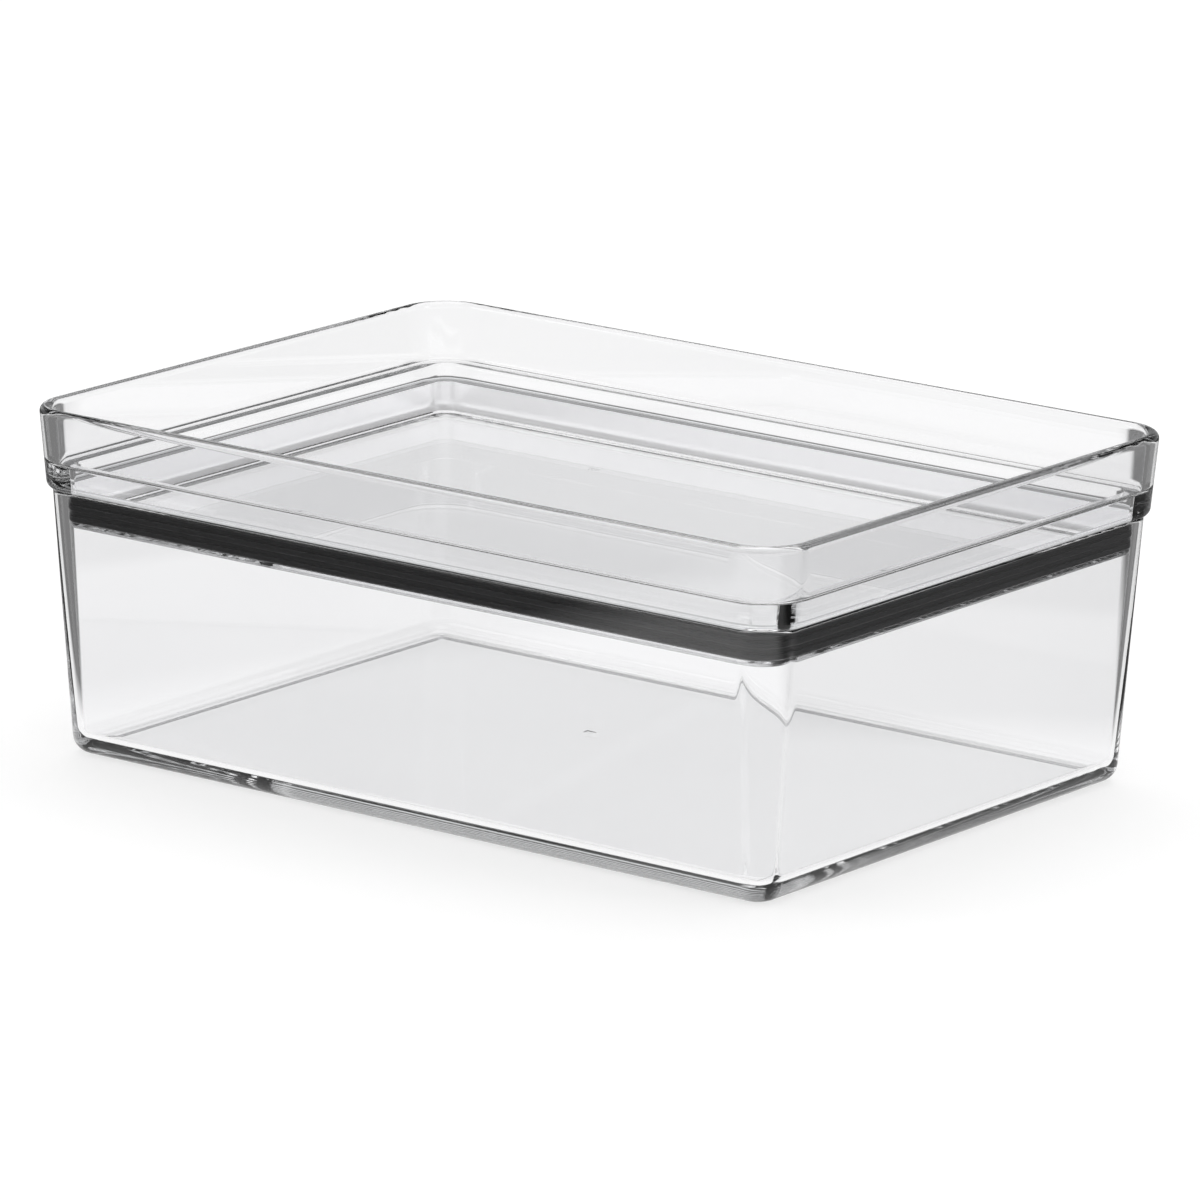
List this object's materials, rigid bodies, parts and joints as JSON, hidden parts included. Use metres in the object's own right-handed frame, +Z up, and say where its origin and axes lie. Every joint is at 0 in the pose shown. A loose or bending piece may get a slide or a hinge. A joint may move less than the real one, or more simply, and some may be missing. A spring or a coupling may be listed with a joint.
{
  "type": "storage box with lid",
  "caption": "Clear thick-walled rectangular storage box with a lift-off stacking lid, whose recessed tray plugs into the body on a dark seal ring.",
  "frame": {"origin": "middle of the base, on the surface that the box stands on", "axes": "+X along the long sides, +Y along the short sides, +Z up"},
  "size_m": [0.2098, 0.1498, 0.08],
  "materials": {
    "box_clear": "polished clear",
    "lid_clear": "polished clear",
    "seal_rubber": "satin"
  },
  "bodies": {
    "box": {"box_body": "box_clear"},
    "lid": {"lid": "lid_clear", "seal_ring": "seal_rubber"}
  },
  "joints": [
    {"name": "lid_lift", "type": "slide", "parent": "box", "child": "lid", "axis": [0, 0, 1], "range_m": [0, 0.04]}
  ]
}
